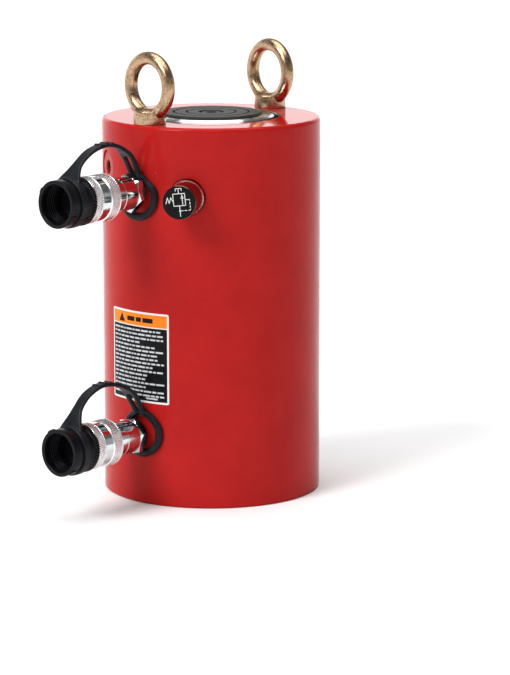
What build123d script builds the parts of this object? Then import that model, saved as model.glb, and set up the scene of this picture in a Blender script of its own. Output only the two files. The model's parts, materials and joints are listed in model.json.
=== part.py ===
"""Double-acting hydraulic cylinder, 100-ton class, with quick couplers and a relief valve.

Millimetres, +Z up, origin at the centre of the base. The couplers point along -Y, which is azimuth 0;
azimuth turns counter-clockwise seen from above. A side piece is drawn along its own +Z, where a height
is the distance from the cylinder's axis, and on_side() turns it into place.
"""
import os
from math import cos, degrees, radians

from build123d import *

# barrel
BARREL_R = 82.5
BARREL_H = 285.0
BORE_R = 65.0
BORE_TOP = 240.0
TOP_FILLET = 3.0
BASE_CHAMFER = 1.0
ROD_HOLE_R = 47.9
MOUTH_R = 51.5
MOUTH_CHAMFER = 0.8
MOUTH_DEPTH = 6.0

# base plug
PLUG_THREAD_R = 68.0
PLUG_THREAD_H = 30.0
PLUG_SPIGOT_TOP = 44.0
STOP_TOP = 58.0
STOP_R = 35.0
PLUG_GROOVE_R = 60.4
PLUG_GROOVE_Z = (34.0, 42.0)
BASE_BOLT_PCD = 95.0
BASE_BOLT_R = 5.1
BASE_BOLT_DEPTH = 20.0
LOCK_SCREW_R = 3.0
LOCK_SCREW_L = 12.0

# rod group
STROKE = 150.0
END_GAP = 0.3
ROD_R = 47.5
ROD_PROUD = 1.5
ROD_TOP = BARREL_H + ROD_PROUD
SPIGOT_R = 30.0
PISTON_BOTTOM = STOP_TOP + END_GAP
PISTON_TOP = BORE_TOP - END_GAP - STROKE
PISTON_R = 64.8
PISTON_LAND_TOP = 82.0
PISTON_STEP_R = 61.0
PISTON_SEAL_Z = (67.5, 74.5)
PISTON_SEAL_ROOT_R = 58.5
WEAR_RING_Z = ((60.5, 65.0), (76.5, 81.0))
WEAR_RING_ROOT_R = 62.3
SPIGOT_GROOVE_Z = (70.0, 74.0)
SPIGOT_GROOVE_R = 27.2
PISTON_SCREW_Z = 86.0
PISTON_SCREW_R = 2.5
PISTON_SCREW_L = 20.0

# gland grooves in the top wall: bottom, top and root radius
BEARING_Z = (246.0, 258.0)
BEARING_ROOT_R = 50.6
SEAL_Z = (261.0, 270.5)
SEAL_ROOT_R = 54.5
BACKUP_H = 3.0
WIPER_Z = (273.0, 279.0)
WIPER_ROOT_R = 52.5
RUNNING_GAP = 0.05
SEAT_GAP = 0.1

# saddle
SADDLE_R = 38.5
SADDLE_SEAT = ROD_TOP - 4.0
SADDLE_TOP = ROD_TOP + 1.5
SADDLE_SPIGOT_R = 15.0
SADDLE_SPIGOT_BOTTOM = 274.0
SADDLE_GROOVE_RADII = (18.6, 28.4)
SADDLE_GROOVE_W = 1.6
SADDLE_GROOVE_DEPTH = 1.2
SADDLE_RECESS_R = 9.5
SADDLE_RECESS_BOTTOM = 278.5
SADDLE_SCREW_R = 4.95
SADDLE_SCREW_BOTTOM = 250.0
SADDLE_SCREW_HEAD_R = 8.0
SADDLE_SCREW_HEAD_TOP = 287.5

# M12 lifting eyebolts, and their holes in the top face and the side
EYE_RING_R = 20.8
EYE_BAR_R = 5.0
EYE_CENTRE = 27.7
EYE_COLLAR_R = 12.0
EYE_COLLAR_H = 10.2
EYE_SHANK_R = 5.05
EYE_SHANK_L = 22.0
EYE_HOLE_R = 5.1
EYE_HOLE_DEPTH = 25.0
EYE_PITCH_R = 68.0
EYE_TURNS = {"front_eyebolt": (0.0, -6.0), "rear_eyebolt": (180.0, -10.0)}
SIDE_HOLE_AZIMUTHS = (-30.0, 150.0)
SIDE_HOLE_Z = 249.4
SIDE_HOLE_FACE = 81.0
SIDE_HOLE_BOTTOM = 59.0
SIDE_HOLE_FACE_R = 13.0
SIDE_HOLE_SINK = 0.6

# small plug of a drilled oil passage
PASSAGE_AZIMUTH = 12.0
PASSAGE_Z = 250.0
PASSAGE_R = 1.6
PASSAGE_DEPTH = 8.0

# couplers: distances are measured from the cylinder's axis
COUPLER_Z = {"upper": 235.7, "lower": 52.7}
PORT_R = 8.55
PORT_BOTTOM = 70.5
PORT_PASSAGE_R = 3.0
NIPPLE_R = 8.45
NIPPLE_START = 71.0
SHOULDER_START = 86.6
SHOULDER_R = 12.4
HEX_START = 87.5
HEX_END = 93.5
HEX_FLATS = 25.4
HEX_TURNS = {"upper": -17.0, "lower": 11.0}
JOINT_THREAD_R = 9.0
JOINT_END = 111.0
SPRING_SEAT = 101.0
SPRING_BORE_R = 5.0
COUPLER_R = 12.6
COUPLER_LINE = 106.0
COUPLER_SHOULDER = 126.0
COUPLER_NOSE_R = 10.5
COUPLER_NOSE = 133.0
POPPET_BORE_R = 7.0
POPPET_LIP = 127.5
COLLAR_START = 116.5
COLLAR_END = 143.2
COLLAR_R = 17.5
COLLAR_LIP = 121.2
COLLAR_WAIST = (126.6, 135.4)
COLLAR_WAIST_DEPTH = 0.8
COLLAR_THREAD_R = 14.0
SNAP_RING = (121.5, 123.0)
CAP_PLUG_R = 13.6
CAP_PLUG_START = 133.8
CAP_START = 143.5
CAP_END = 168.0
CAP_R = 17.5
CAP_FLANGE_R = 18.0
CAP_GROOVE = (151.6, 158.4)
CAP_GROOVE_R = 15.2
CAP_CAVITY_R = 14.6
CAP_CAVITY_START = 149.0
CAP_STEPS = ((161.5, 14.0), (160.0, 13.4), (158.5, 12.8))
CAP_INNER_R = 12.3
CAP_INNER_TOP = 157.0

# rubber straps of the dust caps; each band's route is (height above the coupler, distance) at its middle
STRAP_ROUTES = {
    "upper": ((17.0, 153.5), (25.0, 147.5), (35.0, 134.0), (39.5, 117.0), (34.0, 97.0), (14.5, 85.0)),
    "lower": ((17.0, 154.0), (29.0, 150.0), (41.5, 136.0), (45.5, 119.0), (39.0, 97.0), (17.0, 85.0)),
}
STRAP_BEND_RADII = (12.0, 24.0, 30.0, 20.0)
STRAP_W = 9.0
STRAP_T = 3.0
STRAP_RING_R = 18.6
STRAP_RING = (152.0, 158.0)
STRAP_SLOT = (15.0, 29.0)
STRAP_SLOT_W = 3.6
LOOP_RADII = {"upper": 18.5, "lower": 18.3}
LOOP_CENTRES = {"upper": (1.5, -2.5), "lower": (4.5, 2.1)}
LOOP_BAR = 4.8
LOOP_GAP = 0.4
LOOP_T = 3.4

# relief valve
RELIEF_AZIMUTH = 29.4
RELIEF_Z = 234.3
RELIEF_R = 12.35
RELIEF_RIM_R = 13.0
RELIEF_RIM_TOP = 85.5
RELIEF_START = 80.5
RELIEF_FACE_R = 14.0
RELIEF_END = 109.0
RELIEF_THREAD_R = 7.95
RELIEF_PORT_R = 8.05
RELIEF_PORT_BOTTOM = 70.0
RELIEF_SEAT = (82.0, 86.0)
RELIEF_BORE_R = 5.1
RELIEF_SHELF = 96.0
RELIEF_ADJUSTER = (98.5, 105.0)
RELIEF_ADJUSTER_R = 7.0
RELIEF_DISC_R = 12.2
RELIEF_DISC_T = 1.0

# labels: azimuth of the middle, width round the barrel, lower and upper edge
LABELS = {"warning_label": (-1.0, 58.0, 77.6, 146.0), "front_label": (186.0, 68.0, 32.0, 249.0)}
LABEL_GAP = 0.03
LABEL_T = 0.32


def turned(*points):
    """A solid turned about Z from its half outline, given as (radius, height) corners."""
    outline = make_face(Polyline(*points, close=True))
    return revolve(Plane.XZ * outline, Axis.Z)


def ring(inner, outer, low, high):
    """A plain ring about Z."""
    return turned((inner, low), (outer, low), (outer, high), (inner, high))


def rod_between(radius, low, high):
    """A plain round bar about Z."""
    return Pos(Z=low) * Cylinder(radius, high - low, align=(Align.CENTER, Align.CENTER, Align.MIN))


def hexagon(flats, low, high):
    """A hexagonal bar about Z with its two ends chamfered."""
    half = flats / 2
    corner = half / cos(radians(30))
    slope = (corner - half) * 0.6
    bar = extrude(Pos(Z=low) * RegularPolygon(corner, 6), high - low)
    limit = turned(
        (0, low), (half, low), (corner, low + slope), (corner, high - slope), (half, high), (0, high)
    )
    return bar & limit


def socket(flats, low, high):
    """The hexagonal hollow of a socket screw."""
    return extrude(Pos(Z=low) * RegularPolygon(flats / 2 / cos(radians(30)), 6), high - low)


def coil(radius, wire_r, low, high, turns):
    """A compression spring about Z whose wire stays between two heights."""
    height = high - low - 2 * wire_r
    path = Helix(height / turns, height, radius)
    section = (path ^ 0) * Circle(wire_r)
    return Pos(Z=low + wire_r) * sweep(section, path, is_frenet=True)


def on_side(shape, azimuth, height):
    """Turns a side piece from its own +Z to point away from the cylinder's axis."""
    return Pos(Z=height) * Rot(Z=azimuth) * Rot(X=90) * shape


def write(name, shape):
    shape.label = name
    export_step(shape, f"parts/{name}.step")


def cylinder_body():
    b = BASE_CHAMFER
    m = MOUTH_CHAMFER
    shell = turned(
        (PLUG_THREAD_R + b, 0), (BARREL_R - b, 0), (BARREL_R, b), (BARREL_R, BARREL_H),
        (MOUTH_R + m, BARREL_H), (MOUTH_R, BARREL_H - m), (MOUTH_R, BARREL_H - MOUTH_DEPTH),
        (ROD_HOLE_R, BARREL_H - MOUTH_DEPTH), (ROD_HOLE_R, BORE_TOP),
        (BORE_R, BORE_TOP), (BORE_R, PLUG_THREAD_H),
        (PLUG_THREAD_R, PLUG_THREAD_H), (PLUG_THREAD_R, b),
    )
    rim = shell.edges().filter_by(GeomType.CIRCLE).group_by(Axis.Z)[-1].sort_by(SortBy.RADIUS)[-1]
    shell = fillet(rim, TOP_FILLET)
    for (low, high), root in (
        (BEARING_Z, BEARING_ROOT_R), (SEAL_Z, SEAL_ROOT_R), (WIPER_Z, WIPER_ROOT_R)
    ):
        shell -= ring(ROD_HOLE_R - 1, root, low, high)
    for azimuth, _ in EYE_TURNS.values():
        hole = rod_between(EYE_HOLE_R, BARREL_H - EYE_HOLE_DEPTH, BARREL_H + 1)
        shell -= Rot(Z=azimuth) * Pos(Y=-EYE_PITCH_R) * hole
    for azimuth in SIDE_HOLE_AZIMUTHS:
        cut = rod_between(EYE_HOLE_R, SIDE_HOLE_BOTTOM, BARREL_R + 1)
        cut += side_hole_sink()
        cut += rod_between(SIDE_HOLE_FACE_R, SIDE_HOLE_FACE, BARREL_R + 1)
        shell -= on_side(cut, azimuth, SIDE_HOLE_Z)
    for height in COUPLER_Z.values():
        cut = rod_between(PORT_R, PORT_BOTTOM, BARREL_R + 1)
        cut += rod_between(PORT_PASSAGE_R, BORE_R - 2, PORT_BOTTOM + 1)
        shell -= on_side(cut, 0, height)
    cut = rod_between(RELIEF_PORT_R, RELIEF_PORT_BOTTOM, BARREL_R + 1)
    cut += rod_between(RELIEF_FACE_R, RELIEF_START, BARREL_R + 1)
    cut += rod_between(PORT_PASSAGE_R, BORE_R - 2, RELIEF_PORT_BOTTOM + 1)
    shell -= on_side(cut, RELIEF_AZIMUTH, RELIEF_Z)
    pocket = rod_between(PASSAGE_R + RUNNING_GAP, BARREL_R - PASSAGE_DEPTH, BARREL_R + 1)
    shell -= on_side(pocket, PASSAGE_AZIMUTH, PASSAGE_Z)
    return shell - lock_screw_hole()


def side_hole_sink():
    """The small countersink at the mouth of a side hole."""
    wide = EYE_HOLE_R + SIDE_HOLE_SINK
    low = SIDE_HOLE_FACE - SIDE_HOLE_SINK
    return turned((0, low), (EYE_HOLE_R, low), (wide, SIDE_HOLE_FACE), (wide, BARREL_R), (0, BARREL_R))


def passage_plug():
    """A drive plug with a low domed head, flush with the barrel at its edge."""
    plug = rod_between(PASSAGE_R, BARREL_R - PASSAGE_DEPTH + 0.5, BARREL_R)
    dome_r = 3.0
    sunk = (dome_r**2 - PASSAGE_R**2) ** 0.5
    dome = Pos(Z=BARREL_R - sunk) * Sphere(dome_r)
    dome &= rod_between(PASSAGE_R, BARREL_R, BARREL_R + dome_r)
    return on_side(plug + dome, PASSAGE_AZIMUTH, PASSAGE_Z)


def lock_screw_hole():
    """The hole on the thread joint between the barrel and its plug, from below."""
    return Pos(X=PLUG_THREAD_R) * rod_between(LOCK_SCREW_R + RUNNING_GAP, -1, LOCK_SCREW_L + 1)


def base_plug():
    thread_r = PLUG_THREAD_R - SEAT_GAP
    spigot_r = BORE_R - SEAT_GAP
    b = BASE_CHAMFER
    plug = turned(
        (0, 0), (thread_r - b, 0), (thread_r, b), (thread_r, PLUG_THREAD_H),
        (spigot_r, PLUG_THREAD_H), (spigot_r, PLUG_GROOVE_Z[0]),
        (PLUG_GROOVE_R, PLUG_GROOVE_Z[0]), (PLUG_GROOVE_R, PLUG_GROOVE_Z[1]),
        (spigot_r, PLUG_GROOVE_Z[1]), (spigot_r, PLUG_SPIGOT_TOP - b), (spigot_r - b, PLUG_SPIGOT_TOP),
        (STOP_R, PLUG_SPIGOT_TOP), (STOP_R, STOP_TOP - b), (STOP_R - b, STOP_TOP), (0, STOP_TOP),
    )
    hole = rod_between(BASE_BOLT_R, -1, BASE_BOLT_DEPTH)
    for place in PolarLocations(BASE_BOLT_PCD / 2, 4, start_angle=45):
        plug -= place * hole
    return plug - lock_screw_hole()


def base_lock_screw():
    screw = rod_between(LOCK_SCREW_R, 1, LOCK_SCREW_L)
    return Pos(X=PLUG_THREAD_R) * (screw - socket(LOCK_SCREW_R, 0, 4))


def base_o_ring():
    section_r = (BORE_R - PLUG_GROOVE_R) / 2 - SEAT_GAP
    height = PLUG_GROOVE_Z[0] + section_r + SEAT_GAP
    return Pos(Z=height) * Torus((BORE_R + PLUG_GROOVE_R) / 2, section_r)


def base_backup_ring():
    top = PLUG_GROOVE_Z[1]
    return ring(PLUG_GROOVE_R + SEAT_GAP, BORE_R - SEAT_GAP, top - 2.5, top - SEAT_GAP)


def rod():
    seat_r = SADDLE_R + 0.3
    edge = 1.5
    body = turned(
        (0, PISTON_BOTTOM), (SPIGOT_R - 1, PISTON_BOTTOM), (SPIGOT_R, PISTON_BOTTOM + 1),
        (SPIGOT_R, SPIGOT_GROOVE_Z[0]), (SPIGOT_GROOVE_R, SPIGOT_GROOVE_Z[0]),
        (SPIGOT_GROOVE_R, SPIGOT_GROOVE_Z[1]), (SPIGOT_R, SPIGOT_GROOVE_Z[1]),
        (SPIGOT_R, PISTON_TOP), (ROD_R, PISTON_TOP), (ROD_R, ROD_TOP - edge),
        (ROD_R - edge, ROD_TOP), (seat_r, ROD_TOP), (seat_r, SADDLE_SEAT),
        (SADDLE_SPIGOT_R + SEAT_GAP, SADDLE_SEAT), (SADDLE_SPIGOT_R + SEAT_GAP, SADDLE_SPIGOT_BOTTOM),
        (SADDLE_SCREW_R + RUNNING_GAP, SADDLE_SPIGOT_BOTTOM),
        (SADDLE_SCREW_R + RUNNING_GAP, SADDLE_SCREW_BOTTOM - 2), (0, SADDLE_SCREW_BOTTOM - 2),
    )
    dimple = rod_between(PISTON_SCREW_R + RUNNING_GAP, SPIGOT_R - 1, SPIGOT_R + 1)
    return body - on_side(dimple, 0, PISTON_SCREW_Z)


def piston():
    body = turned(
        (SPIGOT_R + SEAT_GAP, PISTON_BOTTOM), (PISTON_R - 1, PISTON_BOTTOM),
        (PISTON_R, PISTON_BOTTOM + 1), (PISTON_R, PISTON_LAND_TOP),
        (PISTON_STEP_R, PISTON_LAND_TOP), (PISTON_STEP_R, PISTON_TOP - 1),
        (PISTON_STEP_R - 1, PISTON_TOP), (SPIGOT_R + SEAT_GAP, PISTON_TOP),
    )
    for low, high in WEAR_RING_Z:
        body -= ring(WEAR_RING_ROOT_R, PISTON_R + 1, low, high)
    body -= ring(PISTON_SEAL_ROOT_R, PISTON_R + 1, *PISTON_SEAL_Z)
    hole = rod_between(PISTON_SCREW_R + RUNNING_GAP, SPIGOT_R, PISTON_R)
    return body - on_side(hole, 0, PISTON_SCREW_Z)


def piston_lock_screw():
    start = SPIGOT_R - 0.9
    screw = rod_between(PISTON_SCREW_R, start, start + PISTON_SCREW_L)
    screw -= socket(PISTON_SCREW_R, start + PISTON_SCREW_L - 3, start + PISTON_SCREW_L + 1)
    return on_side(screw, 0, PISTON_SCREW_Z)


def piston_o_ring():
    section_r = (SPIGOT_R - SPIGOT_GROOVE_R) / 2 - RUNNING_GAP
    return Pos(Z=sum(SPIGOT_GROOVE_Z) / 2) * Torus((SPIGOT_R + SPIGOT_GROOVE_R) / 2, section_r)


def piston_seal():
    """A two-lipped pressure seal with a flat back in its middle."""
    low, high = PISTON_SEAL_Z
    low += SEAT_GAP
    high -= SEAT_GAP
    inner = PISTON_SEAL_ROOT_R + SEAT_GAP
    outer = BORE_R - RUNNING_GAP
    middle = (inner + outer) / 2
    return turned(
        (inner, low), (middle - 1, low), (middle, low + 2), (middle + 1, low), (outer - 0.5, low),
        (outer, low + 1.5), (outer, high - 1.5), (outer - 0.5, high),
        (middle + 1, high), (middle, high - 2), (middle - 1, high), (inner, high),
    )


def piston_wear_rings():
    rings = [
        ring(WEAR_RING_ROOT_R + SEAT_GAP, BORE_R - RUNNING_GAP, low + SEAT_GAP, high - SEAT_GAP)
        for low, high in WEAR_RING_Z
    ]
    return Compound(rings)


def rod_bearing():
    low, high = BEARING_Z
    return ring(ROD_R + RUNNING_GAP, BEARING_ROOT_R - SEAT_GAP, low + SEAT_GAP, high - SEAT_GAP)


def rod_seal():
    """A U-shaped lip seal, open towards the pressure below it."""
    low = SEAL_Z[0] + SEAT_GAP
    high = SEAL_Z[1] - BACKUP_H - SEAT_GAP
    inner = ROD_R + RUNNING_GAP
    outer = SEAL_ROOT_R - SEAT_GAP
    middle = (inner + outer) / 2
    return turned(
        (inner + 0.4, low), (middle - 1.4, low), (middle - 0.5, low + 3), (middle + 0.5, low + 3),
        (middle + 1.4, low), (outer, low), (outer, high), (inner, high), (inner, low + 1.5),
    )


def rod_backup_ring():
    high = SEAL_Z[1] - SEAT_GAP
    return ring(ROD_R + RUNNING_GAP, SEAL_ROOT_R - SEAT_GAP, high - BACKUP_H + SEAT_GAP, high)


def rod_wiper():
    """A wiper whose lip stands up against the rod in the barrel's mouth."""
    low, high = WIPER_Z
    inner = ROD_R + RUNNING_GAP
    lip_top = high + 2.5
    return turned(
        (inner, low + SEAT_GAP), (WIPER_ROOT_R - SEAT_GAP, low + SEAT_GAP),
        (WIPER_ROOT_R - SEAT_GAP, high - SEAT_GAP), (ROD_HOLE_R - SEAT_GAP, high - SEAT_GAP),
        (ROD_HOLE_R - SEAT_GAP, high + SEAT_GAP), (inner + 2.6, high + SEAT_GAP),
        (inner + 0.8, lip_top), (inner, lip_top),
    )


def saddle():
    edge = 1.2
    disc = turned(
        (SADDLE_SCREW_R + 0.5, SADDLE_SPIGOT_BOTTOM + SEAT_GAP),
        (SADDLE_SPIGOT_R, SADDLE_SPIGOT_BOTTOM + SEAT_GAP), (SADDLE_SPIGOT_R, SADDLE_SEAT),
        (SADDLE_R, SADDLE_SEAT), (SADDLE_R, SADDLE_TOP - edge), (SADDLE_R - edge, SADDLE_TOP),
        (SADDLE_RECESS_R + 0.6, SADDLE_TOP), (SADDLE_RECESS_R, SADDLE_TOP - 0.6),
        (SADDLE_RECESS_R, SADDLE_RECESS_BOTTOM), (SADDLE_SCREW_R + 0.5, SADDLE_RECESS_BOTTOM),
    )
    for radius in SADDLE_GROOVE_RADII:
        half = SADDLE_GROOVE_W / 2
        disc -= ring(radius - half, radius + half, SADDLE_TOP - SADDLE_GROOVE_DEPTH, SADDLE_TOP + 1)
    return disc


def saddle_screw():
    screw = rod_between(SADDLE_SCREW_R, SADDLE_SCREW_BOTTOM, SADDLE_RECESS_BOTTOM)
    head = rod_between(SADDLE_SCREW_HEAD_R, SADDLE_RECESS_BOTTOM, SADDLE_SCREW_HEAD_TOP)
    head = chamfer(head.edges().group_by(Axis.Z)[-1], 0.8)
    return screw + head - socket(SADDLE_SCREW_HEAD_R, SADDLE_SCREW_HEAD_TOP - 5, SADDLE_SCREW_HEAD_TOP + 1)


def eyebolt(azimuth, extra_turn):
    """A forged ring on a collar, with its shank below; the ring lies along the barrel's rim."""
    shank = rod_between(EYE_SHANK_R, -EYE_SHANK_L + 1, 0)
    tip = Pos(Z=-EYE_SHANK_L + 0.5) * Cone(EYE_SHANK_R - 1, EYE_SHANK_R, 1)
    foot = turned(
        (0, 0), (EYE_COLLAR_R, 0), (EYE_COLLAR_R, EYE_COLLAR_H - 0.6),
        (EYE_COLLAR_R - 0.6, EYE_COLLAR_H), (0, EYE_COLLAR_H),
    )
    loop = Pos(Z=EYE_CENTRE) * Rot(X=90) * Torus(EYE_RING_R, EYE_BAR_R)
    bolt = shank + tip + foot + loop
    return Rot(Z=azimuth) * Pos(Y=-EYE_PITCH_R, Z=BARREL_H) * Rot(Z=extra_turn) * bolt


def coupler_adapter():
    """The nipple and hexagon that screw into the port, with the spigot that carries the front body."""
    shape = rod_between(NIPPLE_R, NIPPLE_START + 1, HEX_START)
    shape += Pos(Z=NIPPLE_START + 0.5) * Cone(NIPPLE_R - 1, NIPPLE_R, 1)
    shape += rod_between(SHOULDER_R, SHOULDER_START, HEX_START)
    shape += hexagon(HEX_FLATS, HEX_START, HEX_END)
    shape += rod_between(JOINT_THREAD_R, HEX_END, JOINT_END)
    shape -= rod_between(PORT_PASSAGE_R, NIPPLE_START - 1, SPRING_SEAT)
    return shape - rod_between(SPRING_BORE_R, SPRING_SEAT - 1, JOINT_END + 1)


def coupler_body():
    """The turned front body, with the poppet's bore and the groove of the snap ring."""
    thread_r = JOINT_THREAD_R + SEAT_GAP
    low, high = SNAP_RING
    nose_edge = 0.8
    line = COUPLER_LINE
    return turned(
        (thread_r, HEX_END), (COUPLER_R - 0.6, HEX_END), (COUPLER_R, HEX_END + 0.6),
        (COUPLER_R, line), (COUPLER_R - 0.3, line + 0.3), (COUPLER_R, line + 0.6), (COUPLER_R, low),
        (COUPLER_R - 1.2, low), (COUPLER_R - 1.2, high), (COUPLER_R, high),
        (COUPLER_R, COUPLER_SHOULDER), (COUPLER_NOSE_R, COUPLER_SHOULDER),
        (COUPLER_NOSE_R, COUPLER_NOSE - nose_edge), (COUPLER_NOSE_R - nose_edge, COUPLER_NOSE),
        (7.5, COUPLER_NOSE), (7.5, COUPLER_NOSE - 0.6), (8.8, COUPLER_NOSE - 0.6),
        (8.8, COUPLER_NOSE - 2.6), (7.5, COUPLER_NOSE - 2.6), (7.5, POPPET_LIP + 2),
        (5.3, POPPET_LIP + 2), (5.3, POPPET_LIP), (POPPET_BORE_R, POPPET_LIP),
        (POPPET_BORE_R, JOINT_END + 0.5), (thread_r, JOINT_END + 0.5),
    )


def coupler_seal():
    return Pos(Z=COUPLER_NOSE - 1.6) * Torus(7.9, 0.85)


def coupler_poppet():
    """A hollow-backed poppet that rests 0.3 mm behind the lip of its bore."""
    face = POPPET_LIP - 0.3
    guide_r = POPPET_BORE_R - 0.3
    return turned(
        (0, face - 7), (4.9, face - 7), (4.9, JOINT_END + 4), (guide_r, JOINT_END + 4),
        (guide_r, face), (4.9, face), (4.9, face + 3), (4.1, face + 4), (0, face + 4),
    )


def coupler_spring():
    return coil(3.9, 0.45, SPRING_SEAT, POPPET_LIP - 7.35, 7)


def coupler_collar():
    """The turning collar: a lip behind the snap ring, a threaded mouth and two grip bands outside."""
    low, high = COLLAR_WAIST
    waist_r = COLLAR_R - COLLAR_WAIST_DEPTH
    slope = COLLAR_WAIST_DEPTH / 2
    return turned(
        (COUPLER_R + 0.08, COLLAR_START), (COLLAR_R - 1.5, COLLAR_START),
        (COLLAR_R, COLLAR_START + 1.5), (COLLAR_R, low), (waist_r, low + slope),
        (waist_r, high - slope), (COLLAR_R, high), (COLLAR_R, COLLAR_END - 1.0),
        (COLLAR_R - 1.0, COLLAR_END), (COLLAR_THREAD_R + 0.6, COLLAR_END),
        (COLLAR_THREAD_R, COLLAR_END - 0.6), (COLLAR_THREAD_R, COLLAR_LIP),
        (COUPLER_R + 0.08, COLLAR_LIP),
    )


def collar_snap_ring():
    """A split wire ring in the body's groove."""
    low, high = SNAP_RING
    whole = ring(COUPLER_R - 1.1, COLLAR_THREAD_R - 0.4, low + 0.1, high - 0.1)
    return whole - Pos(0, COUPLER_R, sum(SNAP_RING) / 2) * Box(3, 6, 4)


def dust_cap():
    """The plastic cap: a hollow plug in the collar, a flange, the strap's groove and a stepped front cup."""
    web = CAP_PLUG_START + 3
    groove_low, groove_high = CAP_GROOVE
    flange_end = CAP_START + 3
    cup = [(CAP_CAVITY_R + 0.8, CAP_END), (CAP_CAVITY_R, CAP_END - 0.8)]
    wall = CAP_CAVITY_R
    for height, radius in CAP_STEPS:
        cup += [(wall, height), (radius, height)]
        wall = radius
    cup += [(wall, CAP_INNER_TOP), (CAP_INNER_R, CAP_INNER_TOP), (CAP_INNER_R, CAP_CAVITY_START)]
    return turned(
        (0, web), (11.0, web), (11.0, CAP_PLUG_START), (CAP_PLUG_R - 0.6, CAP_PLUG_START),
        (CAP_PLUG_R, CAP_PLUG_START + 0.6), (CAP_PLUG_R, CAP_START), (CAP_FLANGE_R, CAP_START),
        (CAP_FLANGE_R, flange_end), (CAP_R - 0.6, flange_end + 0.6), (CAP_R - 0.6, groove_low),
        (CAP_GROOVE_R, groove_low), (CAP_GROOVE_R, groove_high), (CAP_R, groove_high),
        (CAP_R, CAP_END - 0.8), (CAP_R - 0.8, CAP_END), *cup, (0, CAP_CAVITY_START),
    )


def cap_strap(route, loop_r, loop_centre):
    """The strap: a ring in the cap's groove, an arched band with a slot, and a loop on the barrel."""
    hold = ring(CAP_GROOVE_R + 0.1, STRAP_RING_R, *STRAP_RING)
    path = FilletPolyline(*((0, y, z) for y, z in route), radius=STRAP_BEND_RADII)
    start = Plane(origin=path @ 0, x_dir=(1, 0, 0), z_dir=path % 0)
    band = sweep(start * Rectangle(STRAP_W, STRAP_T), path)
    low, high = STRAP_SLOT
    slot = Box(STRAP_SLOT_W, high - low, HEX_END, align=(Align.CENTER, Align.MIN, Align.MIN))
    band -= Pos(Y=low, Z=BORE_R) * slot
    under = BARREL_R + LOOP_GAP
    skin = Rot(X=90) * (Cylinder(under + LOOP_T, 4 * loop_r) - Cylinder(under, 5 * loop_r))
    loop = skin & Pos(*loop_centre) * ring(loop_r - LOOP_BAR, loop_r, BORE_R, HEX_END)
    band -= Rot(X=90) * Cylinder(under, 8 * loop_r)
    return hold + band + loop


def relief_valve_body():
    """A plated valve body on its spot face, bored for the seat, the spring and the adjuster."""
    groove_top = RELIEF_START + 1.6
    return turned(
        (1.5, RELIEF_PORT_BOTTOM + 1), (RELIEF_THREAD_R - 1, RELIEF_PORT_BOTTOM + 1),
        (RELIEF_THREAD_R, RELIEF_PORT_BOTTOM + 2), (RELIEF_THREAD_R, RELIEF_START),
        (8.4, RELIEF_START), (8.4, groove_top), (10.8, groove_top), (10.8, RELIEF_START),
        (RELIEF_RIM_R, RELIEF_START), (RELIEF_RIM_R, RELIEF_RIM_TOP), (RELIEF_R, RELIEF_RIM_TOP + 1.4),
        (RELIEF_R, RELIEF_END - 0.2), (RELIEF_R - 0.2, RELIEF_END),
        (RELIEF_ADJUSTER_R + SEAT_GAP, RELIEF_END), (RELIEF_ADJUSTER_R + SEAT_GAP, RELIEF_SHELF),
        (RELIEF_BORE_R, RELIEF_SHELF), (RELIEF_BORE_R, RELIEF_SEAT[0]), (1.5, RELIEF_SEAT[0]),
    )


def relief_face_disc():
    """The disc that covers the whole end of the valve."""
    edge = 0.3
    high = RELIEF_END + RELIEF_DISC_T
    return turned(
        (0, RELIEF_END), (RELIEF_DISC_R, RELIEF_END), (RELIEF_DISC_R, high - edge),
        (RELIEF_DISC_R - edge, high), (0, high),
    )


def relief_seat():
    low, high = RELIEF_SEAT
    outer = RELIEF_BORE_R - SEAT_GAP
    return turned((1.5, low), (outer, low), (outer, high), (3.2, high), (1.5, high - 1.7))


def relief_poppet():
    """A coned plunger that rests 0.3 mm off its seat, with a stem inside the spring."""
    tip = RELIEF_SEAT[1] - 1.7 + 0.5
    guide_r = RELIEF_BORE_R - 0.3
    return turned(
        (0, tip), (1.3, tip), (2.9, tip + 1.6), (guide_r, tip + 2.2), (guide_r, tip + 4),
        (1.8, tip + 4), (1.8, tip + 7), (0, tip + 7),
    )


def relief_spring():
    low = RELIEF_SEAT[1] - 1.2 + 4
    return coil(3.4, 0.55, low, RELIEF_ADJUSTER[0], 5)


def relief_adjuster():
    low, high = RELIEF_ADJUSTER
    return rod_between(RELIEF_ADJUSTER_R, low, high) - socket(6, high - 4, high + 1)


def relief_o_ring():
    return Pos(Z=RELIEF_START + 0.8) * Torus(9.6, 0.75)


def label(azimuth, width, low, high):
    """A thin curved plate on the barrel, centred on its azimuth."""
    inner = BARREL_R + LABEL_GAP
    span = degrees(width / BARREL_R)
    face = make_face(
        Polyline((inner, low), (inner + LABEL_T, low), (inner + LABEL_T, high), (inner, high), close=True)
    )
    plate = revolve(Plane.XZ * face, Axis.Z, revolution_arc=span)
    return Rot(Z=azimuth - 90 - span / 2) * plate


CENTRE_PIECES = (
    cylinder_body, passage_plug, base_plug, base_lock_screw, base_o_ring, base_backup_ring, rod, piston,
    piston_lock_screw, piston_o_ring, piston_seal, piston_wear_rings, rod_bearing, rod_seal,
    rod_backup_ring, rod_wiper, saddle, saddle_screw,
)
COUPLER_PIECES = (
    coupler_adapter, coupler_body, coupler_collar, collar_snap_ring, coupler_poppet, coupler_spring,
    coupler_seal, dust_cap,
)
RELIEF_PIECES = (
    relief_valve_body, relief_face_disc, relief_seat, relief_poppet, relief_spring, relief_adjuster,
    relief_o_ring,
)

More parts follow.
